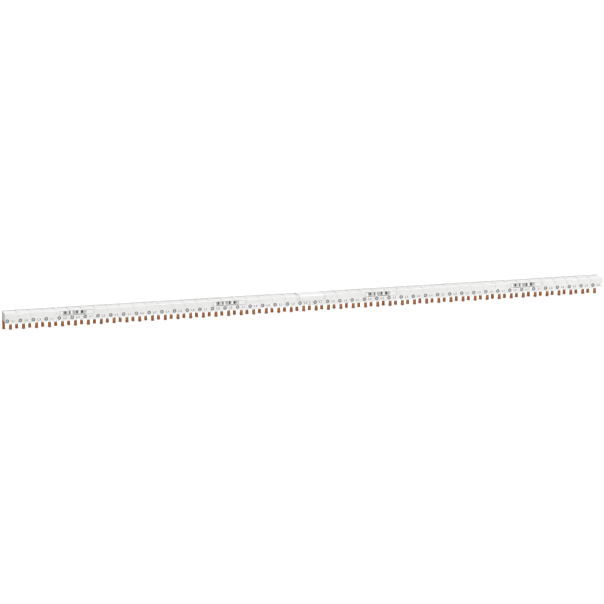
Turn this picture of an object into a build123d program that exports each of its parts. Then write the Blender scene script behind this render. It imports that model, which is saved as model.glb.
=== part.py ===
"""Comb busbar for single-pole-and-neutral devices, three phases and a neutral row.

All sizes are millimetres. X runs along the busbar from left to right, Y runs
from the front to the back and Z points up, with the teeth pointing down.
X is zero at the joint between the two moulded halves, Y is zero in the plane
of the phase teeth and Z is zero at the tips of the teeth.
"""

import os

from build123d import *

# Way of the modules
module_pitch = 18.0
modules_per_half = 24
halves = 2
phases = 3
module_count = modules_per_half * halves

# Outline of the moulded body, depth from the front face, height from the skirt edge
half_shortfall = 3.0
joint_gap = 4.0
body_depth = 24.0
body_height = 15.0
wall = 1.6
back_wall = 1.35
edge_round = 0.6
half_length = module_pitch * modules_per_half - half_shortfall
body_length = half_length * halves + joint_gap

# Copper strip
strip_thickness = 1.5
tooth_width = 4.0
tooth_reach = 11.0
tip_chamfer = 0.8
crank_radius = 1.9
crank_ease = 0.45
crank_drop = 1.4
bar_overhang = 1.4

# Places of the copper in the body
neutral_from_back = 2.3
row_spacing = 5.3
front_bar_depth = 3.2
phase_step = 8.4
neutral_row_depth = body_depth - neutral_from_back
phase_row_depth = neutral_row_depth - row_spacing
neutral_first = tooth_width / 2

# Floor, ribs and ledges
end_lift = 3.0
floor_thickness = 1.2
rib_height = 2.7
rib_thickness = 1.2
ledge_depth = 0.8
ledge_height = 0.8
boss_depth = 1.2
foot_thickness = 0.6
barrier_thickness = 0.8

# Clearances
bar_side_clearance = 0.1
barrier_clearance = 0.05
floor_clearance = 0.1
window_clearance = 0.3
end_clearance = 0.2
seam_gap = 0.25
flange_clearance = 0.2

# Marks of the mould on the outside
groove_width = 1.2
groove_depth = 0.3
score_width = 0.4
score_depth = 0.25
score_shift = 0.5
score_bottom = 8.6
groove_front = 2.2
notch_length = 9.0
notch_height = 0.85
notch_slope = 0.9
notch_shift = 1.45
notch_place = neutral_first + phase_step + notch_shift

# Lap joint of the cover over the back of the top, with an open slot under its lip
lap_depth = 0.9
lap_reach = 4.7
channel_width = 2.0
lip_height = 0.4
lip_thickness = 0.45

# Clip lugs over the back edge
lug_length = 7.5
lug_height = 0.5
lug_depth = 4.4
lug_slope = 0.6
lug_place = 3.3

# Joint sleeve
sleeve_length = 35.0
sleeve_proud = 0.5
sleeve_relief = 0.8
sleeve_back_relief = 0.5
sleeve_bottom = 8.0
sleeve_round = 2.0
sleeve_corner = 2.5
tongue_flare = 1.6

# Sizes that follow from the ones above
print_pitch = half_length / modules_per_half
half_starts = (-body_length / 2, joint_gap / 2)
top_inside = body_height - wall
floor_bottom = end_lift
floor_top = floor_bottom + floor_thickness
bar_bottom = floor_top + rib_height
phase_bar_step = (phase_row_depth - front_bar_depth) / (phases - 1)
phase_bar_depths = [front_bar_depth + phase_bar_step * i for i in range(phases)]
bar_depths = phase_bar_depths + [neutral_row_depth]
bar_left = -body_length / 2 + wall + end_clearance
bar_right = body_length / 2 + bar_overhang
cover_front = body_depth - back_wall
housing_back = neutral_row_depth - strip_thickness / 2 - bar_side_clearance
flange_front = housing_back + seam_gap
lap_floor = body_height - lap_depth
lap_front = body_depth - lap_reach
channel_front = lap_front - channel_width
lip_top = body_height + lip_height
barrier_depths = [(a + b) / 2 for a, b in zip(bar_depths, bar_depths[1:])]


def in_frame(shape):
    """Move a piece from depth and height over the skirt to the shared frame."""
    return Pos(0, -phase_row_depth, tooth_reach) * shape


def block(x0, x1, depth0, depth1, height0, height1):
    """Return a box between two corners."""
    size = (x1 - x0, depth1 - depth0, height1 - height0)
    middle = ((x0 + x1) / 2, (depth0 + depth1) / 2, (height0 + height1) / 2)
    return Pos(*middle) * Box(*size)


def pane(depth0, depth1, height0, height1):
    """Return a rectangle of the cross-section between two corners."""
    middle = ((depth0 + depth1) / 2, (height0 + height1) / 2)
    return Pos(*middle) * Rectangle(depth1 - depth0, height1 - height0)


def neutral_x(module):
    """Return the middle of the neutral tooth of a module."""
    return -body_length / 2 + neutral_first + module_pitch * module


def phase_x(module):
    """Return the middle of the phase tooth of a module."""
    return neutral_x(module) + phase_step


def phase_modules(phase):
    """Return the modules that a phase feeds."""
    return range(phase, module_count, phases)


def along(section, x0, x1):
    """Pull a cross-section along the busbar from x0 to x1."""
    return Pos(x0, 0, 0) * extrude(Plane.YZ * section, amount=x1 - x0)


# Moulded housing


def boss_section():
    """Return the bosses under the top that keep the bars and barriers apart."""
    low = top_inside - boss_depth
    root = (top_inside + lap_floor) / 2
    edge = strip_thickness / 2 + bar_side_clearance
    slot = barrier_thickness / 2 + barrier_clearance
    section = pane(wall / 2, bar_depths[0] - edge, low, root)
    for front, back in zip(bar_depths, bar_depths[1:]):
        section += pane(front + edge, back - edge, low, root)
    for depth in barrier_depths:
        section -= pane(depth - slot, depth + slot, low - 1, top_inside)
    return section


def housing_section():
    """Return the cross-section of the front wall, the top and their ribs."""
    outer = pane(0, housing_back, 0, body_height)
    corner = outer.vertices().sort_by(Axis.X)[:2].sort_by(Axis.Y)[-1]
    outer = fillet(corner, edge_round)
    section = outer - pane(wall, housing_back + 1, -1, top_inside)
    section -= pane(channel_front, housing_back + 1, lap_floor, body_height + 1)
    section += boss_section()
    ledge = pane(wall / 2, wall + ledge_depth, end_lift - ledge_height, end_lift)
    return section + ledge


def end_wall(start, side):
    """Return the wall that closes the outer end of a half."""
    x0 = start if side < 0 else start + half_length - wall
    face = pane(wall / 2, housing_back, end_lift, (top_inside + lap_floor) / 2)
    plate = along(face, x0, x0 + wall)
    if side < 0:
        return plate
    edge = strip_thickness / 2 + bar_side_clearance
    for depth in phase_bar_depths:
        plate -= block(x0 - 1, x0 + wall + 1, depth - edge, depth + edge, bar_bottom, top_inside)
    return plate


def relief(x0, x1):
    """Return the recess around the body under the joint sleeve."""
    front = block(x0, x1, -1, sleeve_relief, sleeve_bottom, body_height + 1)
    top = block(x0, x1, -1, body_depth + 1, body_height - sleeve_relief, lip_top + lug_height + 1)
    back = block(x0, x1, body_depth - sleeve_back_relief, body_depth + 1, sleeve_bottom, body_height + 1)
    return front + top + back


def notch(x):
    """Return the shallow opening in the skirt edge in front of a third tooth."""
    outline = Polyline(
        (x - notch_length / 2, -1),
        (x - notch_length / 2, 0),
        (x - notch_length / 2 + notch_slope, notch_height),
        (x + notch_length / 2 - notch_slope, notch_height),
        (x + notch_length / 2, 0),
        (x + notch_length / 2, -1),
        close=True,
    )
    return Pos(0, wall + 1, 0) * extrude(Plane.XZ * make_face(outline), amount=wall + 2)


def module_marks(start):
    """Return the score lines and grooves at the module borders of a half."""
    cuts = []
    for module in range(1, modules_per_half):
        x = start + print_pitch * module - score_shift
        if abs(x) < sleeve_length / 2 + groove_width:
            continue
        score = score_width / 2
        cuts.append(block(x - score, x + score, -1, score_depth, score_bottom, body_height - edge_round))
        groove = groove_width / 2
        floor = body_height - groove_depth
        cuts.append(block(x - groove, x + groove, groove_front, channel_front + 1, floor, body_height + 1))
    return cuts


def make_housing(half):
    """Return one half of the housing."""
    start = half_starts[half]
    side = -1 if half == 0 else 1
    shape = along(housing_section(), start, start + half_length)
    shape += end_wall(start, side)
    cuts = module_marks(start)
    for module in range(phases - 1, modules_per_half, phases):
        cuts.append(notch(start + print_pitch * module + notch_place))
    shape -= cuts
    shape -= relief(-sleeve_length / 2, sleeve_length / 2)
    return in_frame(shape)


# Back cover with floor


def cover_section():
    """Return the cross-section of the back wall, its lapped flange and the floor."""
    section = pane(cover_front, body_depth, floor_bottom, lip_top)
    section += pane(wall + floor_clearance, body_depth - back_wall / 2, floor_bottom, floor_top)
    middle = body_depth - back_wall / 2
    flange = pane(flange_front, middle, top_inside + flange_clearance, body_height)
    lap = pane(lap_front, middle, lip_top - lip_thickness, lip_top)
    return section + flange + lap


def tooth_windows(start):
    """Return the openings in the floor for the teeth of both rows."""
    half_width = tooth_width / 2 + window_clearance
    half_depth = strip_thickness / 2 + window_clearance
    cuts = []
    for module in range(module_count):
        for x, depth in ((neutral_x(module), neutral_row_depth), (phase_x(module), phase_row_depth)):
            if x + half_width < start or x - half_width > start + half_length:
                continue
            back = min(depth + half_depth, cover_front)
            cuts.append(
                block(x - half_width, x + half_width, depth - half_depth, back, floor_bottom - 1, floor_top + 1)
            )
    return cuts


def cover_ribs(start):
    """Return the cross ribs that carry the bars between the teeth."""
    ribs = []
    for module in range(module_count):
        x = (phase_x(module) + neutral_x(module + 1)) / 2
        x0 = x - rib_thickness / 2
        x1 = x + rib_thickness / 2
        if x0 < start + wall or x1 > start + half_length - wall:
            continue
        ribs.append(
            block(x0, x1, wall + floor_clearance, body_depth - back_wall / 2, floor_top - floor_thickness / 2, bar_bottom)
        )
    return ribs


def lug(x0, x1):
    """Return one clip lug that hooks over the top of the housing."""
    outline = Polyline(
        (x0, lip_top),
        (x0 + lug_slope, lip_top + lug_height),
        (x1 - lug_slope, lip_top + lug_height),
        (x1, lip_top),
        close=True,
    )
    return Pos(0, body_depth, 0) * extrude(Plane.XZ * make_face(outline), amount=lug_depth)


def cover_lugs(start):
    """Return the row of lugs of a half, left out under the joint sleeve."""
    lugs = []
    for module in range(modules_per_half):
        middle = start + print_pitch * module + lug_place
        x0 = max(middle - lug_length / 2, start)
        x1 = min(middle + lug_length / 2, start + half_length)
        if x1 > -sleeve_length / 2 and x0 < sleeve_length / 2:
            continue
        lugs.append(lug(x0, x1))
    return lugs


def make_cover(half):
    """Return the back cover of one half, with floor, ribs and lugs."""
    start = half_starts[half]
    end = start + half_length
    shape = along(cover_section(), start, end)
    outer = (start - 1, start + wall + floor_clearance)
    if half == 1:
        outer = (end - wall - floor_clearance, end + 1)
    shape -= block(outer[0], outer[1], 0, cover_front, floor_bottom - 1, floor_top + 1)
    shape -= tooth_windows(start)
    shape += cover_ribs(start)
    shape += cover_lugs(start)
    shape -= relief(-sleeve_length / 2, sleeve_length / 2)
    return in_frame(shape)


# Joint sleeve


def sleeve_section():
    """Return the cross-section of the cap over the joint."""
    low = sleeve_bottom
    outer = pane(-sleeve_proud, body_depth + sleeve_proud, low, body_height + sleeve_proud)
    corners = outer.vertices().sort_by(Axis.Y)[-2:]
    outer = fillet(corners, sleeve_round)
    inner = pane(
        sleeve_relief,
        body_depth - sleeve_back_relief,
        low - 1,
        body_height - sleeve_relief,
    )
    return outer - inner


def sleeve_tongue():
    """Return the tongue that closes the gap between the two front walls."""
    body = block(-joint_gap / 2, joint_gap / 2, 0, wall, 0, sleeve_bottom)
    neck = block(-joint_gap / 2, joint_gap / 2, sleeve_relief / 2, wall, 0, sleeve_bottom + wall)
    half = joint_gap / 2
    outline = Polyline(
        (-half - tongue_flare, sleeve_bottom),
        (-half, sleeve_bottom - tongue_flare),
        (-half, 0),
        (half, 0),
        (half, sleeve_bottom - tongue_flare),
        (half + tongue_flare, sleeve_bottom),
        close=True,
    )
    face = extrude(Plane.XZ * make_face(outline), amount=sleeve_proud)
    return body + neck + face


def make_joint_sleeve():
    """Return the sleeve that bridges the joint of the two halves."""
    shape = along(sleeve_section(), -sleeve_length / 2, sleeve_length / 2)
    corners = shape.edges().filter_by(Axis.Y).group_by(Axis.Z)[0]
    shape = fillet(corners, sleeve_corner)
    shape += sleeve_tongue()
    return in_frame(shape)


# Copper combs


def flat_comb(x0, x1, centres, low):
    """Return a straight comb, one stamped strip with its teeth in one plane."""
    bar = Pos((x0 + x1) / 2, (low + top_inside) / 2) * Rectangle(x1 - x0, top_inside - low)
    tooth = Rectangle(tooth_width, low + tooth_reach)
    tooth = chamfer(tooth.vertices().group_by(Axis.Y)[0], tip_chamfer)
    middle = (low - tooth_reach) / 2
    face = bar + [Pos(x, middle) * tooth for x in centres]
    return Pos(0, strip_thickness / 2, 0) * extrude(Plane.XZ * face, amount=strip_thickness)


def outer_bend(profile, depth, height):
    """Round the outside of a bend, the corner of a profile nearest to a point."""
    corner = profile.vertices().sort_by_distance((depth, height))[0]
    return fillet(corner, crank_radius)


def inner_bend(profile, depth, height):
    """Ease the inside of a bend, the corner of a profile nearest to a point."""
    corner = profile.vertices().sort_by_distance((depth, height))[0]
    return chamfer(corner, crank_ease)


def cranked_tooth(depth, low):
    """Return one tooth, bent back from its bar into the row and down again."""
    half = strip_thickness / 2
    run = bar_bottom - crank_drop
    outline = Polyline(
        (depth - half, low),
        (depth - half, run - half),
        (phase_row_depth - half, run - half),
        (phase_row_depth - half, -tooth_reach),
        (phase_row_depth + half, -tooth_reach),
        (phase_row_depth + half, run + half),
        (depth + half, run + half),
        (depth + half, low),
        close=True,
    )
    profile = make_face(outline)
    profile = outer_bend(profile, depth - half, run - half)
    profile = inner_bend(profile, depth + half, run + half)
    profile = inner_bend(profile, phase_row_depth - half, run - half)
    profile = outer_bend(profile, phase_row_depth + half, run + half)
    tooth = along(profile, -tooth_width / 2, tooth_width / 2)
    tips = tooth.edges().filter_by(Axis.Y).group_by(Axis.Z)[0]
    return chamfer(tips, tip_chamfer)


def cranked_comb(phase, low):
    """Return a comb whose teeth pass under the bars behind it."""
    depth = phase_bar_depths[phase]
    half = strip_thickness / 2
    bar = block(bar_left, bar_right, depth - half, depth + half, low, top_inside)
    tooth = cranked_tooth(depth, low)
    return bar + [Pos(phase_x(module), 0, 0) * tooth for module in phase_modules(phase)]


def foot_top(phase):
    """Return the height where the bar of a phase starts, over its barrier foot."""
    return bar_bottom if phase == 0 else bar_bottom + foot_thickness


def make_comb_l1():
    """Return the comb of the first phase, with the longest cranks."""
    return in_frame(cranked_comb(0, foot_top(0)))


def make_comb_l2():
    """Return the comb of the second phase."""
    return in_frame(cranked_comb(1, foot_top(1)))


def make_comb_l3():
    """Return the comb of the third phase, straight in the row of phase teeth."""
    centres = [phase_x(module) for module in phase_modules(phases - 1)]
    comb = flat_comb(bar_left, bar_right, centres, foot_top(phases - 1))
    return in_frame(Pos(0, phase_row_depth, 0) * comb)


def make_comb_n():
    """Return the neutral comb at the back."""
    centres = [neutral_x(module) for module in range(module_count)]
    comb = flat_comb(-body_length / 2, bar_right, centres, bar_bottom)
    return in_frame(Pos(0, neutral_row_depth, 0) * comb)


# Insulating barriers


def make_barrier(index):
    """Return the barrier between two bars, with a foot under the rear phase bar."""
    depth = barrier_depths[index]
    half = barrier_thickness / 2
    section = pane(depth - half, depth + half, bar_bottom, top_inside)
    footed = index + 1 < phases
    if footed:
        reach = phase_bar_depths[index + 1] + strip_thickness / 2 + window_clearance * 2
        section += pane(depth, reach, bar_bottom, bar_bottom + foot_thickness)
    shape = along(section, bar_left, body_length / 2 - wall - end_clearance)
    if footed:
        edge = tooth_width / 2 + window_clearance
        slit = strip_thickness / 2 + window_clearance
        row = phase_bar_depths[index + 1]
        shape -= [
            block(phase_x(m) - edge, phase_x(m) + edge, row - slit, reach + 1, bar_bottom - 1, bar_bottom + foot_thickness)
            for m in phase_modules(index + 1)
        ]
    return in_frame(shape)


def all_parts():
    """Return every piece under the name of its file."""
    return {
        "housing_left": make_housing(0),
        "housing_right": make_housing(1),
        "cover_left": make_cover(0),
        "cover_right": make_cover(1),
        "joint_sleeve": make_joint_sleeve(),
        "comb_n": make_comb_n(),
        "comb_l1": make_comb_l1(),
        "comb_l2": make_comb_l2(),
        "comb_l3": make_comb_l3(),
        "barrier_l1_l2": make_barrier(0),
        "barrier_l2_l3": make_barrier(1),
        "barrier_l3_n": make_barrier(2),
    }


os.makedirs("parts", exist_ok=True)
for name, shape in all_parts().items():
    export_step(shape, f"parts/{name}.step")
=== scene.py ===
"""Dress a comb busbar: pale moulded housing, bare copper combs, printed marks.

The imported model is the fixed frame. Each sub-assembly of the busbar is a class
with its sizes in millimetres and methods that build its meshes and dress them.
"""

import logging
import math
from dataclasses import dataclass
from enum import Enum
from typing import Iterable, Optional, Sequence, Union

import bpy
from mathutils import Matrix, Vector

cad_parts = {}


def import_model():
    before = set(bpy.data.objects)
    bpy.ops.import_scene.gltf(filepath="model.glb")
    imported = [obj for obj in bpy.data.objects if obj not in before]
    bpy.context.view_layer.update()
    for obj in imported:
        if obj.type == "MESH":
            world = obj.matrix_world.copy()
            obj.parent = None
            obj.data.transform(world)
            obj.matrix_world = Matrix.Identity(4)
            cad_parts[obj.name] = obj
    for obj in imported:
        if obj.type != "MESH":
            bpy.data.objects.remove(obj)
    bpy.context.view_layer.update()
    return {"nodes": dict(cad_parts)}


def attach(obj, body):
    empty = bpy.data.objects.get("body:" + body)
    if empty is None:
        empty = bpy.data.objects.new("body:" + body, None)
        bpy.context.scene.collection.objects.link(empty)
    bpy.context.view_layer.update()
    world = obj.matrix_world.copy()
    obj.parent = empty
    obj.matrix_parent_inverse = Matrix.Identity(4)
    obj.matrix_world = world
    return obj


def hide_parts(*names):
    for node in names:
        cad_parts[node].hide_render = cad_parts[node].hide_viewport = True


LOG = logging.getLogger("comb_busbar")
MM = 0.001

# Two measures of a mesh count as one within this many millimetres
NEAR = 0.02
# Faces that meet at less than this angle, in degrees, share a smooth edge
SMOOTH_ANGLE = 32.0

# Sockets of a Mix node that carry its two colours and its result
MIX_FIRST, MIX_SECOND, MIX_RESULT = 6, 7, 2

WHITE = "#FFFFFF"

# Record slots of the pieces whose edges are eased
MOULDED_SLOTS = {
    "housing_left": "housing",
    "housing_right": "housing",
    "cover_left": "cover",
    "cover_right": "cover",
    "joint_sleeve": "sleeve",
}
COMB_SLOTS = {
    "comb_n": "copper_neutral",
    "comb_l1": "copper_phase",
    "comb_l2": "copper_phase",
    "comb_l3": "copper_phase",
}

Corner = tuple[float, float, float]
Rectangle = tuple[float, float, float, float]
Colour = tuple[float, float, float, float]
Socket = Union[str, int]


class Half(Enum):
    """The two moulded halves of the housing, by their side of the joint."""

    LEFT = -1
    RIGHT = 1


class Phase(Enum):
    """The letters printed for the three phases, in their order."""

    L1 = 0
    L2 = 1
    L3 = 2


@dataclass(frozen=True)
class Body:
    """Outside sizes of the moulded body, in millimetres in the shared frame.

    The front face looks along -Y and the tooth tips stand at a height of zero.
    """

    half_length: float = 429.0
    joint_gap: float = 4.0
    sleeve_half: float = 17.5
    modules: int = 24
    front: float = -16.4
    skirt: float = 11.0

    @property
    def pitch(self) -> float:
        """Length of one printed module."""
        return self.half_length / self.modules

    def start(self, half: Half) -> float:
        """Place of the left end of a half.

        Args:
            half: The half of the housing.

        Returns:
            The place along the busbar, in millimetres.
        """
        if half is Half.LEFT:
            return -self.half_length - self.joint_gap / 2
        return self.joint_gap / 2

    def module_start(self, half: Half, module: int) -> float:
        """Place of the left end of a module, counted from zero on each half."""
        return self.start(half) + self.pitch * module


def half_of(name: str) -> Half:
    """Tell the half that a CAD piece belongs to from its name."""
    return Half.LEFT if name.endswith("left") else Half.RIGHT


def off_mark(place: float, first: float, pitch: float) -> float:
    """Measure how far a place lies from the nearest mark of an even row.

    Args:
        place: The place along the busbar.
        first: Place of the first mark.
        pitch: Step from mark to mark.

    Returns:
        The signed distance, positive to the right of the mark.
    """
    return (place - first + pitch / 2) % pitch - pitch / 2


# Colours and nodes


def srgb(code: str) -> Colour:
    """Turn an sRGB hex value into a linear colour.

    Args:
        code: Six hex digits, with or without a leading hash.

    Returns:
        Linear red, green, blue and alpha.
    """
    code = code.lstrip("#")
    values = [int(code[i : i + 2], 16) / 255 for i in (0, 2, 4)]
    red, green, blue = (
        v / 12.92 if v <= 0.04045 else ((v + 0.055) / 1.055) ** 2.4 for v in values
    )
    return (red, green, blue, 1.0)


def scale_for(size: float) -> float:
    """Give the texture scale whose features are so many millimetres large."""
    return 1 / (size * MM)


def add_node(
    tree: bpy.types.NodeTree,
    kind: str,
    settings: Optional[dict[str, object]] = None,
    values: Optional[dict[Socket, object]] = None,
    links: Optional[dict[Socket, bpy.types.NodeSocket]] = None,
) -> bpy.types.Node:
    """Add one shader node with its settings, values and links.

    Args:
        tree: The node tree of a material or a world.
        kind: Blender's type name of the node.
        settings: Properties of the node itself.
        values: Constants for its inputs, by name or place.
        links: Sockets to join to its inputs, by name or place.

    Returns:
        The new node.
    """
    node = tree.nodes.new(kind)
    for name, value in (settings or {}).items():
        setattr(node, name, value)
    for key, value in (values or {}).items():
        node.inputs[key].default_value = value
    for key, socket in (links or {}).items():
        tree.links.new(socket, node.inputs[key])
    return node


def start_material(name: str) -> bpy.types.Material:
    """Make a material with an empty node tree.

    Args:
        name: Name of the material.

    Returns:
        The material.
    """
    material = bpy.data.materials.new(name)
    material.use_nodes = True
    material.node_tree.nodes.clear()
    return material


def close_material(
    material: bpy.types.Material,
    values: dict[Socket, object],
    links: dict[Socket, bpy.types.NodeSocket],
) -> bpy.types.Material:
    """Close a material with its Principled shader and its output.

    Args:
        material: The material with the nodes of its pattern.
        values: Constants for the shader's own sockets.
        links: Sockets of the pattern that feed the shader.

    Returns:
        The finished material.
    """
    tree = material.node_tree
    shader = add_node(tree, "ShaderNodeBsdfPrincipled", values=values, links=links)
    face = shader.outputs["BSDF"]
    add_node(tree, "ShaderNodeOutputMaterial", links={"Surface": face})
    return material


# Finishes


@dataclass(frozen=True)
class MouldedPolycarbonate:
    """Pale grey polycarbonate blend, injection moulded in a spark-eroded mould.

    It gives the eye an even pale grey with a broad soft sheen on every edge.
    """

    name: str = "moulded_polycarbonate_pale_grey"
    colour: str = "#E9E9E8"
    shade: str = "#E2E2E1"
    roughness: float = 0.5
    smoother: float = 0.04
    duller: float = 0.06
    index: float = 1.58
    cloud_mm: float = 60.0
    grain_mm: float = 0.35
    grain_depth_mm: float = 0.012
    grain_strength: float = 0.25

    def make(self) -> bpy.types.Material:
        """Build the material.

        Returns:
            The finished material.
        """
        material = start_material(self.name)
        tree = material.node_tree
        place = add_node(tree, "ShaderNodeTexCoord").outputs["Object"]
        # Slow drift of tone and sheen from the flow of the melt
        cloud = add_node(
            tree,
            "ShaderNodeTexNoise",
            values={"Scale": scale_for(self.cloud_mm), "Detail": 2.0, "Roughness": 0.4},
            links={"Vector": place},
        )
        tone = add_node(
            tree,
            "ShaderNodeMix",
            settings={"data_type": "RGBA"},
            values={MIX_FIRST: srgb(self.colour), MIX_SECOND: srgb(self.shade)},
            links={"Factor": cloud.outputs["Fac"]},
        )
        sheen = add_node(
            tree,
            "ShaderNodeMapRange",
            values={
                "From Min": 0.3,
                "From Max": 0.7,
                "To Min": self.roughness - self.smoother,
                "To Max": self.roughness + self.duller,
            },
            links={"Value": cloud.outputs["Fac"]},
        )
        # Fine eroded grain of the mould, which keeps the highlights soft
        grain = add_node(
            tree,
            "ShaderNodeTexNoise",
            values={
                "Scale": scale_for(self.grain_mm),
                "Detail": 3.0,
                "Roughness": 0.55,
            },
            links={"Vector": place},
        )
        bump = add_node(
            tree,
            "ShaderNodeBump",
            values={
                "Strength": self.grain_strength,
                "Distance": self.grain_depth_mm * MM,
            },
            links={"Height": grain.outputs["Fac"]},
        )
        return close_material(
            material,
            values={"IOR": self.index},
            links={
                "Base Color": tone.outputs[MIX_RESULT],
                "Roughness": sheen.outputs["Result"],
                "Normal": bump.outputs["Normal"],
            },
        )


@dataclass(frozen=True)
class RolledCopper:
    """Bare copper strip, cold rolled, stamped and bent, slightly aged.

    It gives the eye a dull warm metal with faint rolling lines along the strip
    and a slow change from cleaner to browner patches.
    """

    name: str = "rolled_copper_bare"
    colour: str = "#A66D4A"
    aged: str = "#A16946"
    roughness: float = 0.46
    smoother: float = 0.08
    duller: float = 0.12
    stain_mm: float = 9.0
    rolling_mm: float = 0.5
    rolling_stretch: float = 0.02
    rolling_depth_mm: float = 0.01
    rolling_strength: float = 0.15

    def make(self) -> bpy.types.Material:
        """Build the material.

        Returns:
            The finished material.
        """
        material = start_material(self.name)
        tree = material.node_tree
        place = add_node(tree, "ShaderNodeTexCoord").outputs["Object"]
        # Rolling lines run along the strip, drawn coarser than real to show
        stretch = add_node(
            tree,
            "ShaderNodeMapping",
            values={"Scale": (self.rolling_stretch, 1.0, 1.0)},
            links={"Vector": place},
        )
        lines = add_node(
            tree,
            "ShaderNodeTexNoise",
            values={
                "Scale": scale_for(self.rolling_mm),
                "Detail": 4.0,
                "Roughness": 0.6,
            },
            links={"Vector": stretch.outputs["Vector"]},
        )
        gloss = add_node(
            tree,
            "ShaderNodeMapRange",
            values={
                "From Min": 0.25,
                "From Max": 0.75,
                "To Min": self.roughness - self.smoother,
                "To Max": self.roughness + self.duller,
            },
            links={"Value": lines.outputs["Fac"]},
        )
        bump = add_node(
            tree,
            "ShaderNodeBump",
            values={
                "Strength": self.rolling_strength,
                "Distance": self.rolling_depth_mm * MM,
            },
            links={"Height": lines.outputs["Fac"]},
        )
        # Patches of thin oxide from handling, which brown the metal
        stain = add_node(
            tree,
            "ShaderNodeTexNoise",
            values={"Scale": scale_for(self.stain_mm), "Detail": 3.0, "Roughness": 0.5},
            links={"Vector": place},
        )
        patch = add_node(
            tree,
            "ShaderNodeMapRange",
            values={"From Min": 0.38, "From Max": 0.68},
            links={"Value": stain.outputs["Fac"]},
        )
        tone = add_node(
            tree,
            "ShaderNodeMix",
            settings={"data_type": "RGBA"},
            values={MIX_FIRST: srgb(self.colour), MIX_SECOND: srgb(self.aged)},
            links={"Factor": patch.outputs["Result"]},
        )
        return close_material(
            material,
            values={"Metallic": 1.0},
            links={
                "Base Color": tone.outputs[MIX_RESULT],
                "Roughness": gloss.outputs["Result"],
                "Normal": bump.outputs["Normal"],
            },
        )


@dataclass(frozen=True)
class ExtrudedStrip:
    """Insulating strip of the barriers, extruded through a die.

    It gives the eye a matte off-white with faint lines along its length.
    """

    name: str = "extruded_insulating_strip"
    colour: str = "#D6D5D0"
    roughness: float = 0.55
    line_mm: float = 0.25
    line_stretch: float = 0.01
    line_depth_mm: float = 0.02
    line_strength: float = 0.3

    def make(self) -> bpy.types.Material:
        """Build the material.

        Returns:
            The finished material.
        """
        material = start_material(self.name)
        tree = material.node_tree
        place = add_node(tree, "ShaderNodeTexCoord").outputs["Object"]
        stretch = add_node(
            tree,
            "ShaderNodeMapping",
            values={"Scale": (self.line_stretch, 1.0, 1.0)},
            links={"Vector": place},
        )
        lines = add_node(
            tree,
            "ShaderNodeTexNoise",
            values={"Scale": scale_for(self.line_mm), "Detail": 2.0},
            links={"Vector": stretch.outputs["Vector"]},
        )
        bump = add_node(
            tree,
            "ShaderNodeBump",
            values={
                "Strength": self.line_strength,
                "Distance": self.line_depth_mm * MM,
            },
            links={"Height": lines.outputs["Fac"]},
        )
        return close_material(
            material,
            values={"Base Color": srgb(self.colour), "Roughness": self.roughness},
            links={"Normal": bump.outputs["Normal"]},
        )


@dataclass(frozen=True)
class MottledFilm:
    """A thin flat film whose tone drifts between two shades."""

    name: str
    colour: str
    other: str
    roughness: float
    mottle_mm: float
    detail: float

    def make(self) -> bpy.types.Material:
        """Build the material.

        Returns:
            The finished material.
        """
        material = start_material(self.name)
        tree = material.node_tree
        place = add_node(tree, "ShaderNodeTexCoord").outputs["Object"]
        mottle = add_node(
            tree,
            "ShaderNodeTexNoise",
            values={"Scale": scale_for(self.mottle_mm), "Detail": self.detail},
            links={"Vector": place},
        )
        tone = add_node(
            tree,
            "ShaderNodeMix",
            settings={"data_type": "RGBA"},
            values={MIX_FIRST: srgb(self.colour), MIX_SECOND: srgb(self.other)},
            links={"Factor": mottle.outputs["Fac"]},
        )
        return close_material(
            material,
            values={"Roughness": self.roughness},
            links={"Base Color": tone.outputs[MIX_RESULT]},
        )


@dataclass(frozen=True)
class PadPrintInk(MottledFilm):
    """Dark grey pad-printing ink.

    It gives the eye a matte near-black with specks where the pad left less ink.
    """

    name: str = "pad_print_ink_grey"
    colour: str = "#242425"
    other: str = "#3A3A3B"
    roughness: float = 0.6
    mottle_mm: float = 0.3
    detail: float = 2.0


@dataclass(frozen=True)
class LabelPaper(MottledFilm):
    """White coated label paper.

    It gives the eye a smooth white with a faint mottling of the fibre.
    """

    name: str = "coated_label_paper_white"
    colour: str = "#EEEEED"
    other: str = "#E9E9E8"
    roughness: float = 0.5
    mottle_mm: float = 0.4
    detail: float = 4.0


@dataclass(frozen=True)
class StudioPaper:
    """Pale matte paper of the studio floor.

    It gives the eye white all round and keeps the shadow of the object.
    """

    name: str = "studio_floor_paper"
    colour: str = "#D8D8D8"
    roughness: float = 0.9
    lift: float = 0.85

    def make(self) -> bpy.types.Material:
        """Build the material.

        Returns:
            The finished material.
        """
        material = start_material(self.name)
        tree = material.node_tree
        # Only the camera sees the lift, so it doesn't light the object
        rays = add_node(tree, "ShaderNodeLightPath")
        lift = add_node(
            tree,
            "ShaderNodeMath",
            settings={"operation": "MULTIPLY"},
            values={1: self.lift},
            links={0: rays.outputs["Is Camera Ray"]},
        )
        return close_material(
            material,
            values={
                "Base Color": srgb(self.colour),
                "Roughness": self.roughness,
                "Specular IOR Level": 0.0,
                "Emission Color": srgb(WHITE),
            },
            links={"Emission Strength": lift.outputs["Value"]},
        )


# Bench work shared by the sub-assemblies


def deselect() -> None:
    """Clear the selection, in object mode."""
    if bpy.context.object and bpy.context.object.mode != "OBJECT":
        bpy.ops.object.mode_set(mode="OBJECT")
    bpy.ops.object.select_all(action="DESELECT")


def pick(obj: bpy.types.Object) -> None:
    """Select one object alone and make it active.

    Args:
        obj: The object.
    """
    deselect()
    obj.select_set(True)
    bpy.context.view_layer.objects.active = obj


def settle(obj: bpy.types.Object) -> None:
    """Put an object's place, turn and size into its mesh."""
    pick(obj)
    bpy.ops.object.transform_apply(location=True, rotation=True, scale=True)


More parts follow.
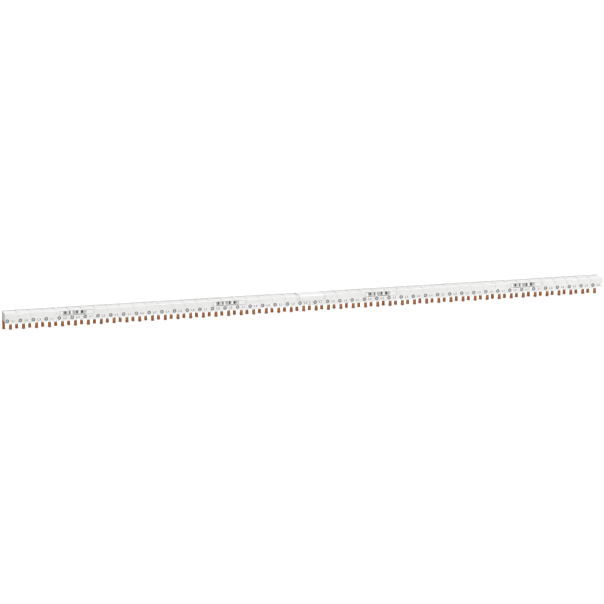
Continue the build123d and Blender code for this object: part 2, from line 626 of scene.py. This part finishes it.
def thicken(obj: bpy.types.Object, move: Corner) -> None:
    """Extrude a flat mesh into a closed one with its normals outward.

    Args:
        obj: The flat mesh.
        move: The way to the new side, in millimetres.
    """
    pick(obj)
    way = tuple(length * MM for length in move)
    bpy.ops.object.mode_set(mode="EDIT")
    bpy.ops.mesh.select_all(action="SELECT")
    bpy.ops.mesh.extrude_region_move(TRANSFORM_OT_translate={"value": way})
    bpy.ops.mesh.select_all(action="SELECT")
    bpy.ops.mesh.normals_make_consistent(inside=False)
    bpy.ops.object.mode_set(mode="OBJECT")


def copy_at(source: bpy.types.Object, shift: Corner) -> bpy.types.Object:
    """Copy an object with its own mesh and move the copy.

    Args:
        source: The object to copy.
        shift: The move, in millimetres.

    Returns:
        The copy.
    """
    twin = source.copy()
    twin.data = source.data.copy()
    bpy.context.collection.objects.link(twin)
    twin.data.transform(Matrix.Translation(Vector(shift) * MM))
    return twin


def join(name: str, parts: Sequence[bpy.types.Object]) -> bpy.types.Object:
    """Join several meshes into one piece.

    Args:
        name: Name of the piece.
        parts: The meshes to join.

    Returns:
        The joined piece.
    """
    deselect()
    for part in parts:
        part.select_set(True)
    bpy.context.view_layer.objects.active = parts[0]
    bpy.ops.object.join()
    piece = bpy.context.view_layer.objects.active
    piece.name = name
    piece.data.name = name
    return piece


def dress(obj: bpy.types.Object, material: bpy.types.Material) -> None:
    """Give an object one material all over."""
    obj.data.materials.clear()
    obj.data.materials.append(material)


def hand_over(obj: bpy.types.Object) -> None:
    """Let a finished piece ride on the busbar.

    Args:
        obj: The finished piece.
    """
    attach(obj, "root")
    LOG.info("%s: %d faces", obj.name, len(obj.data.polygons))


# Sub-assemblies


@dataclass(frozen=True)
class JointGaps:
    """Open gaps round the sleeve, which show as dark joint lines."""

    body: Body
    side: float = 0.75
    edge: float = 19.0
    recess_edge: float = 18.1
    sleeve_edge: float = 18.5
    corner_top: float = 21.6
    relief_front: float = -15.5
    skin: float = 0.8
    margin: float = 0.1
    tongue_left: float = 0.7
    tongue_right: float = 0.3

    def lower_sleeve(self, obj: bpy.types.Object) -> None:
        """Draw the front edge of the sleeve down, its corners with it.

        Args:
            obj: Copy of the sleeve with its merged mesh.
        """
        drop = (self.edge - self.sleeve_edge) / (self.corner_top - self.edge)
        for vertex in obj.data.vertices:
            _, y, z = vertex.co / MM
            at_edge = self.edge - self.margin < z < self.corner_top
            if at_edge and y < self.relief_front:
                vertex.co.z -= drop * (self.corner_top - z) * MM

    def widen_recess(self, name: str, obj: bpy.types.Object) -> None:
        """Move the edges of the recess under the sleeve away from the sleeve.

        Args:
            name: Name of the housing or cover.
            obj: Its copy with the merged mesh.
        """
        half = half_of(name)
        side = half.value
        tongue = self.tongue_left if half is Half.LEFT else self.tongue_right
        sleeve_end = self.body.sleeve_half
        half_end = self.body.joint_gap / 2
        for vertex in obj.data.vertices:
            x, y, z = vertex.co / MM
            if abs(x - side * sleeve_end) < NEAR:
                vertex.co.x += side * self.side * MM
            if name.startswith("housing") and y < self.relief_front + self.skin:
                if abs(z - self.edge) < NEAR and abs(x) < sleeve_end + self.margin:
                    vertex.co.z = self.recess_edge * MM
                if abs(x - side * half_end) < NEAR:
                    vertex.co.x += side * tongue * MM


@dataclass(frozen=True)
class MouldRelief:
    """Fine relief of the mould, a little bolder than in the solids so that it shows."""

    body: Body
    score_floor: float = -16.15
    score_bolder: float = -15.6
    score_shift: float = 0.5
    score_half: float = 0.2
    score_spread: float = 0.12
    groove_floor: float = 25.7
    groove_bolder: float = 25.2
    lip_top: float = 26.4
    lip_fuller: float = 26.65

    def deepen(self, name: str, obj: bpy.types.Object) -> None:
        """Deepen and widen the front scores and deepen the top grooves.

        Args:
            name: Name of the housing.
            obj: Its copy with the merged mesh.
        """
        first = self.body.start(half_of(name)) - self.score_shift
        for vertex in obj.data.vertices:
            x, y, z = vertex.co / MM
            across = off_mark(x, first, self.body.pitch)
            at_side = abs(abs(across) - self.score_half) < NEAR
            if y < self.score_floor + NEAR and at_side:
                vertex.co.x += math.copysign(self.score_spread, across) * MM
            if abs(y - self.score_floor) < NEAR:
                vertex.co.y = self.score_bolder * MM
            if abs(z - self.groove_floor) < NEAR:
                vertex.co.z = self.groove_bolder * MM

    def fill_out(self, obj: bpy.types.Object) -> None:
        """Raise the lip of a cover.

        Args:
            obj: Copy of the cover with its merged mesh.
        """
        for vertex in obj.data.vertices:
            if abs(vertex.co.z / MM - self.lip_top) < NEAR:
                vertex.co.z = self.lip_fuller * MM


@dataclass(frozen=True)
class ToothSpread:
    """How far the edges of the stamped teeth are pressed out in the copies.

    From the camera a tooth is three pixels wide and its edges fade into the
    white behind it, so it needs this to look as solid as it is.
    """

    neutral_first: float = -429.0
    phase_first: float = -420.6
    pitch: float = 18.0
    half_width: float = 2.0
    middle: float = 0.3
    spread: float = 0.2
    left_end: float = -431.0

    def press(self, name: str, obj: bpy.types.Object) -> None:
        """Move both edges of every tooth outward.

        Args:
            name: Name of the CAD comb.
            obj: Its copy with the merged mesh.
        """
        first = self.neutral_first if name == "comb_n" else self.phase_first
        for vertex in obj.data.vertices:
            x = vertex.co.x / MM
            across = off_mark(x, first, self.pitch)
            if self.middle < abs(across) < self.half_width + NEAR:
                moved = x + math.copysign(self.spread, across)
                vertex.co.x = max(moved, self.left_end) * MM


@dataclass
class EdgedPieces:
    """The moulded and stamped pieces, with their edges eased as real ones are."""

    body: Body
    nodes: dict[str, bpy.types.Object]
    plastic_edge: float = 0.07
    sleeve_edge: float = 0.2
    copper_edge: float = 0.1
    edge_steps: int = 2
    sharp_angle: float = 40.0
    flat_angle: float = 0.5
    weld: float = 0.002
    face_weight: int = 100

    def merged_copy(self, name: str) -> bpy.types.Object:
        """Copy a CAD piece and merge its triangles into whole faces.

        Args:
            name: Name of the CAD piece.

        Returns:
            The copy.
        """
        source = self.nodes[name]
        twin = bpy.data.objects.new(f"{name}_eased", source.data.copy())
        bpy.context.collection.objects.link(twin)
        pick(twin)
        bpy.ops.object.mode_set(mode="EDIT")
        bpy.ops.mesh.select_all(action="SELECT")
        bpy.ops.mesh.remove_doubles(threshold=self.weld * MM)
        bpy.ops.mesh.dissolve_limited(angle_limit=math.radians(self.flat_angle))
        bpy.ops.object.mode_set(mode="OBJECT")
        return twin

    def bring_out(self, name: str, obj: bpy.types.Object) -> None:
        """Bring out the fine forms that the solid has in their plain size.

        Args:
            name: Name of the CAD piece.
            obj: Its copy with the merged mesh.
        """
        if name in COMB_SLOTS:
            ToothSpread().press(name, obj)
        elif name == "joint_sleeve":
            JointGaps(self.body).lower_sleeve(obj)
        else:
            JointGaps(self.body).widen_recess(name, obj)
            relief = MouldRelief(self.body)
            if name.startswith("housing"):
                relief.deepen(name, obj)
            else:
                relief.fill_out(obj)

    def ease(self, obj: bpy.types.Object, width: float) -> None:
        """Bevel the sharp edges of a copy and shade it.

        Args:
            obj: The copy.
            width: Width of the bevel, in millimetres.
        """
        pick(obj)
        bevel = obj.modifiers.new("eased_edges", "BEVEL")
        bevel.width = width * MM
        bevel.segments = self.edge_steps
        bevel.limit_method = "ANGLE"
        bevel.angle_limit = math.radians(self.sharp_angle)
        bevel.use_clamp_overlap = True
        bevel.harden_normals = False
        bpy.ops.object.modifier_apply(modifier=bevel.name)
        bpy.ops.object.shade_smooth_by_angle(angle=math.radians(SMOOTH_ANGLE))
        # Flat faces keep their own normal, so that only the eased edges catch the light
        weigh = obj.modifiers.new("face_weighted", "WEIGHTED_NORMAL")
        weigh.mode = "FACE_AREA"
        weigh.weight = self.face_weight
        weigh.keep_sharp = True
        bpy.ops.object.modifier_apply(modifier=weigh.name)

    def finish(
        self, name: str, width: float, material: bpy.types.Material
    ) -> None:
        """Put an eased and dressed copy in the place of a CAD piece.

        Args:
            name: Name of the CAD piece.
            width: Width of the bevel, in millimetres.
            material: Finish of the piece.
        """
        twin = self.merged_copy(name)
        self.bring_out(name, twin)
        self.ease(twin, width)
        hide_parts(name)
        dress(twin, material)
        hand_over(twin)

    def build(self, plastic: bpy.types.Material, copper: bpy.types.Material) -> None:
        """Ease and dress every piece that shows.

        Args:
            plastic: Finish of the moulded pieces.
            copper: Finish of the combs.
        """
        for name, slot in MOULDED_SLOTS.items():
            width = self.sleeve_edge if name == "joint_sleeve" else self.plastic_edge
            self.finish(name, width, plastic)
        for name, slot in COMB_SLOTS.items():
            self.finish(name, self.copper_edge, copper)


@dataclass
class ClipNoses:
    """Small noses in the slot under the cover's lip, one at each clip lug."""

    body: Body
    place: float = 3.3
    length: float = 6.0
    slope: float = 0.7
    front: float = 2.4
    back: float = 5.0
    low: float = 25.1
    high: float = 25.8
    edge: float = 0.08
    edge_steps: int = 2

    def nose(self) -> bpy.types.Object:
        """Model the nose of the first module, as if it began at zero.

        Returns:
            The nose, narrower at its top than at its foot.
        """
        deselect()
        x, y = self.place * MM, (self.front + self.back) / 2 * MM
        bpy.ops.mesh.primitive_plane_add(size=1, location=(x, y, self.low * MM))
        nose = bpy.context.object
        nose.scale = (self.length * MM, (self.back - self.front) * MM, 1)
        settle(nose)
        bpy.ops.object.mode_set(mode="EDIT")
        bpy.ops.mesh.select_all(action="SELECT")
        rise = (0, 0, (self.high - self.low) * MM)
        bpy.ops.mesh.extrude_region_move(TRANSFORM_OT_translate={"value": rise})
        bpy.ops.transform.resize(
            value=(1 - 2 * self.slope / self.length, 1, 1),
            center_override=(x, y, self.high * MM),
        )
        bpy.ops.mesh.select_all(action="SELECT")
        bpy.ops.mesh.normals_make_consistent(inside=False)
        bpy.ops.mesh.bevel(
            offset=self.edge * MM, segments=self.edge_steps, affect="EDGES"
        )
        bpy.ops.object.mode_set(mode="OBJECT")
        bpy.ops.object.shade_smooth_by_angle(angle=math.radians(SMOOTH_ANGLE))
        return nose

    def is_free(self, left: float) -> bool:
        """Tell whether the nose of a module stands clear of the sleeve.

        Args:
            left: Left end of the module, in millimetres.

        Returns:
            True if the sleeve leaves the nose free.
        """
        x0 = left + self.place - self.length / 2
        return x0 >= self.body.sleeve_half or x0 + self.length <= -self.body.sleeve_half

    def build(self, plastic: bpy.types.Material) -> None:
        """Set a nose at every lug that the sleeve leaves free.

        Args:
            plastic: Finish of the moulded pieces.
        """
        nose = self.nose()
        for half in Half:
            ends = [self.body.module_start(half, i) for i in range(self.body.modules)]
            row = [copy_at(nose, (left, 0.0, 0.0)) for left in ends if self.is_free(left)]
            piece = join(f"clip_noses_{half.name.lower()}", row)
            dress(piece, plastic)
            hand_over(piece)
        bpy.data.objects.remove(nose)


@dataclass
class ModuleMarks:
    """The printed neutral rings and phase letters, one pair for each module."""

    body: Body
    ink: float = 0.03
    ring_outer: float = 4.75
    ring_stroke: float = 1.05
    ring_steps: int = 40
    ring_place: float = 3.2
    ring_level: float = 4.75
    letter_height: float = 1.45
    phase_height: float = 2.7
    phase_spacing: float = 1.35
    phase_place: float = 11.2
    phase_level: float = 4.65
    capital_share: float = 0.7
    swell_share: float = 0.02
    curve_steps: int = 3

    def ring(self) -> bpy.types.Object:
        """Model the ring of a neutral mark, facing the front at the origin.

        Returns:
            The ring.
        """
        deselect()
        bpy.ops.mesh.primitive_circle_add(
            vertices=self.ring_steps,
            radius=self.ring_outer / 2 * MM,
            fill_type="NGON",
            rotation=(math.pi / 2, 0, 0),
        )
        ring = bpy.context.object
        settle(ring)
        bpy.ops.object.mode_set(mode="EDIT")
        bpy.ops.mesh.select_all(action="SELECT")
        bpy.ops.mesh.inset(thickness=self.ring_stroke * MM, depth=0)
        bpy.ops.mesh.delete(type="FACE")
        thicken(ring, (0, -self.ink, 0))
        return ring

    def letters(
        self, text: str, height: float, spacing: float = 1.0
    ) -> bpy.types.Object:
        """Model printed letters, centred on the origin and facing the front.

        Args:
            text: The letters.
            height: Height of a capital, in millimetres.
            spacing: Spacing of the letters, one being the usual.

        Returns:
            The letters as a mesh.
        """
        deselect()
        bpy.ops.object.text_add(rotation=(math.pi / 2, 0, 0))
        curve = bpy.context.object.data
        curve.body = text
        curve.align_x = "CENTER"
        curve.align_y = "CENTER"
        curve.size = height * MM / self.capital_share
        curve.space_character = spacing
        curve.resolution_u = self.curve_steps
        curve.offset = self.swell_share * height * MM
        bpy.ops.object.convert(target="MESH")
        obj = bpy.context.object
        settle(obj)
        spots = [vertex.co for vertex in obj.data.vertices]
        low = Vector(min(spot[i] for spot in spots) for i in range(3))
        high = Vector(max(spot[i] for spot in spots) for i in range(3))
        obj.data.transform(Matrix.Translation(-(low + high) / 2))
        return obj

    def build(self, ink: bpy.types.Material) -> None:
        """Print every mark of both halves.

        Args:
            ink: Finish of the print.
        """
        ring = self.ring()
        letter = self.letters("N", self.letter_height)
        phases = [
            self.letters(phase.name, self.phase_height, self.phase_spacing)
            for phase in Phase
        ]
        front = self.body.front
        face = front - self.ink
        ring_z = self.body.skirt + self.ring_level
        phase_z = self.body.skirt + self.phase_level
        for half in Half:
            rings: list[bpy.types.Object] = []
            words: list[bpy.types.Object] = []
            for module in range(self.body.modules):
                left = self.body.module_start(half, module)
                rings.append(copy_at(ring, (left + self.ring_place, front, ring_z)))
                rings.append(copy_at(letter, (left + self.ring_place, face, ring_z)))
                word = phases[module % len(phases)]
                words.append(copy_at(word, (left + self.phase_place, face, phase_z)))
            for name, group in (("neutral_marks", rings), ("phase_marks", words)):
                piece = join(f"{name}_{half.name.lower()}", group)
                dress(piece, ink)
                hand_over(piece)
        for source in (ring, letter, *phases):
            bpy.data.objects.remove(source)


@dataclass
class BarLabels:
    """White film labels with plain bars and a thin painted edge shadow, two on each half.

    Bars are given by their left edge on the label and their width, and runs of
    fine bars and dashes by their left edge and their number.
    """

    body: Body
    count: int = 2
    first: float = 75.6
    repeat: float = 214.5
    width: float = 46.6
    low: float = 7.8
    height: float = 6.5
    film: float = 0.04
    print_film: float = 0.02
    # Width and inset of the ink lines of painted shadow round the label's edge
    edge_shadow_width: float = 0.28
    edge_shadow_inset: float = 0.12
    bar_low: float = 1.85
    bar_high: float = 5.9
    solid_bars: tuple[tuple[float, float], ...] = (
        (6.3, 2.2),
        (12.9, 1.9),
        (22.4, 2.4),
        (29.0, 3.2),
        (36.0, 0.6),
    )
    fine_runs: tuple[tuple[float, int], ...] = (
        (4.7, 2),
        (8.9, 2),
        (11.3, 1),
        (17.7, 5),
        (25.2, 1),
        (32.8, 3),
    )
    fine_width: float = 0.42
    fine_step: float = 0.84
    dash_runs: tuple[tuple[float, int], ...] = ((4.6, 9), (18.6, 14))
    dash_width: float = 0.7
    dash_height: float = 0.9
    dash_step: float = 1.25
    dash_low: float = 0.45

    def plate(self, name: str, low: Corner, high: Corner) -> bpy.types.Object:
        """Model a thin upright plate between two corners.

        Args:
            name: Name of the plate.
            low: Lowest corner, in millimetres.
            high: Highest corner, in millimetres.

        Returns:
            The plate.
        """
        deselect()
        middle = [(a + b) / 2 * MM for a, b in zip(low, high)]
        bpy.ops.mesh.primitive_plane_add(
            size=1,
            location=(middle[0], high[1] * MM, middle[2]),
            rotation=(math.pi / 2, 0, 0),
        )
        plate = bpy.context.object
        plate.name = name
        plate.scale = ((high[0] - low[0]) * MM, (high[2] - low[2]) * MM, 1)
        settle(plate)
        thicken(plate, (0, low[1] - high[1], 0))
        return plate

    def printed(
        self, left: float, spans: Iterable[Rectangle]
    ) -> list[bpy.types.Object]:
        """Print plain rectangles on a label.

        Args:
            left: Left end of the label, in millimetres.
            spans: Left, right, lower and upper limit of each rectangle on the label.

        Returns:
            The rectangles as thin plates.
        """
        face = self.body.front - self.film
        base = self.body.skirt + self.low
        return [
            self.plate(
                "print",
                (left + x0, face - self.print_film, base + z0),
                (left + x1, face, base + z1),
            )
            for x0, x1, z0, z1 in spans
        ]

    def edge_shadow_spans(self) -> list[Rectangle]:
        """Place the four ink lines of painted shadow round the label's edge.

        Returns:
            Their limits on the label, in millimetres.
        """
        outer = self.edge_shadow_inset
        inner = outer + self.edge_shadow_width
        right = self.width - outer
        top = self.height - outer
        return [
            (outer, right, outer, inner),
            (outer, right, top - self.edge_shadow_width, top),
            (outer, inner, inner, top - self.edge_shadow_width),
            (right - self.edge_shadow_width, right, inner, top - self.edge_shadow_width),
        ]

    def bar_spans(self) -> list[Rectangle]:
        """Place the plain bars and the row of dashes under them.

        Returns:
            Their limits on the label, in millimetres.
        """
        low, high = self.bar_low, self.bar_high
        spans = [(x, x + width, low, high) for x, width in self.solid_bars]
        for first, count in self.fine_runs:
            for step in range(count):
                x = first + self.fine_step * step
                spans.append((x, x + self.fine_width, low, high))
        top = self.dash_low + self.dash_height
        for first, count in self.dash_runs:
            for step in range(count):
                x = first + self.dash_step * step
                spans.append((x, x + self.dash_width, self.dash_low, top))
        return spans

    def build(self, paper: bpy.types.Material, ink: bpy.types.Material) -> None:
        """Stick every label on.

        Args:
            paper: Finish of the label.
            ink: Finish of the print.
        """
        base = self.body.skirt + self.low
        # The lines round each label are painted edge shadow, in the same ink as the bars
        spans = self.edge_shadow_spans() + self.bar_spans()
        for half in Half:
            for index in range(self.count):
                left = self.body.start(half) + self.first + self.repeat * index
                low = (left, self.body.front - self.film, base)
                high = (left + self.width, self.body.front, base + self.height)
                name = f"label_{half.name.lower()}_{index + 1}"
                label = self.plate(name, low, high)
                dress(label, paper)
                hand_over(label)
                # One piece holds the printed bars and the painted edge shadow together
                bars = join(f"{name}_print", self.printed(left, spans))
                dress(bars, ink)
                hand_over(bars)


@dataclass(frozen=True)
class Lamp:
    """One soft square lamp, with its place in metres and its power in watts."""

    name: str
    place: Corner
    power: float


@dataclass
class Studio:
    """The floor, the lamps and the camera, whose place is in millimetres."""

    eye: Corner = (-1207.724, -4182.167, 970.556)
    yaw: float = 15.9927
    pitch: float = 12.4067
    lens: float = 190.924
    sensor: float = 36.0
    nearest: float = 0.1
    farthest: float = 100.0
    floor_size: float = 30.0
    room: float = 0.166
    mirrored: float = 0.75
    lamp_size: float = 2.5
    lamps: tuple[Lamp, ...] = (
        Lamp("soft_key", (0.72, -1.92, 5.64), 322.0),
        Lamp("soft_fill", (1.5, -5.7, 1.08), 115.0),
        Lamp("soft_side", (-5.5, -1.5, 1.8), 24.0),
        Lamp("soft_back", (-1.0, 5.5, 2.1), 42.0),
    )

    def floor(self) -> None:
        """Lay the pale floor under the tooth tips."""
        deselect()
        bpy.ops.mesh.primitive_plane_add(size=self.floor_size, location=(0, 0, 0))
        floor = bpy.context.object
        floor.name = "studio_floor"
        dress(floor, StudioPaper().make())

    def hang(self, lamp: Lamp) -> None:
        """Hang one lamp that looks at the busbar.

        Args:
            lamp: The lamp.
        """
        data = bpy.data.lights.new(lamp.name, "AREA")
        data.shape = "SQUARE"
        data.size = self.lamp_size
        data.energy = lamp.power
        light = bpy.data.objects.new(lamp.name, data)
        bpy.context.collection.objects.link(light)
        light.location = lamp.place
        light.rotation_mode = "QUATERNION"
        light.rotation_quaternion = (-Vector(lamp.place)).to_track_quat("-Z", "Y")

    def sky(self) -> None:
        """Light the room evenly, brighter in reflections and white to the camera."""
        world = bpy.data.worlds.new("studio_room")
        bpy.context.scene.world = world
        world.use_nodes = True
        tree = world.node_tree
        tree.nodes.clear()
        rays = add_node(tree, "ShaderNodeLightPath")
        shown = add_node(
            tree,
            "ShaderNodeMath",
            settings={"operation": "MULTIPLY_ADD"},
            values={1: 1.0 - self.room, 2: self.room},
            links={0: rays.outputs["Is Camera Ray"]},
        )
        strength = add_node(
            tree,
            "ShaderNodeMath",
            settings={"operation": "MULTIPLY_ADD"},
            values={1: self.mirrored - self.room},
            links={0: rays.outputs["Is Glossy Ray"], 2: shown.outputs["Value"]},
        )
        room = add_node(
            tree,
            "ShaderNodeBackground",
            values={"Color": srgb(WHITE)},
            links={"Strength": strength.outputs["Value"]},
        )
        add_node(
            tree, "ShaderNodeOutputWorld", links={"Surface": room.outputs["Background"]}
        )

    def camera(self) -> None:
        """Set the camera at the photograph's place, level and without shift."""
        data = bpy.data.cameras.new("studio_camera")
        data.lens = self.lens
        data.sensor_width = self.sensor
        data.clip_start = self.nearest
        data.clip_end = self.farthest
        camera = bpy.data.objects.new("studio_camera", data)
        bpy.context.collection.objects.link(camera)
        camera.location = Vector(self.eye) * MM
        tilt, turn = math.radians(90 - self.pitch), -math.radians(self.yaw)
        camera.rotation_euler = (tilt, 0, turn)
        bpy.context.scene.camera = camera

    def build(self) -> None:
        """Set up the whole studio."""
        self.floor()
        self.sky()
        for lamp in self.lamps:
            self.hang(lamp)
        self.camera()
        bpy.context.scene.view_settings.view_transform = "Standard"


def main() -> None:
    """Load the frame, build and dress every sub-assembly and set the studio."""
    logging.basicConfig(level=logging.INFO, format="%(name)s: %(message)s")
    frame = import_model()
    body = Body()
    plastic = MouldedPolycarbonate().make()
    copper = RolledCopper().make()
    strip = ExtrudedStrip().make()
    ink = PadPrintInk().make()
    paper = LabelPaper().make()
    for name, node in frame["nodes"].items():
        if name.startswith("barrier"):
            dress(node, strip)
    EdgedPieces(body, frame["nodes"]).build(plastic, copper)
    ClipNoses(body).build(plastic)
    ModuleMarks(body).build(ink)
    BarLabels(body).build(paper, ink)
    Studio().build()
    bpy.context.view_layer.update()


if __name__ == "__main__":
    main()
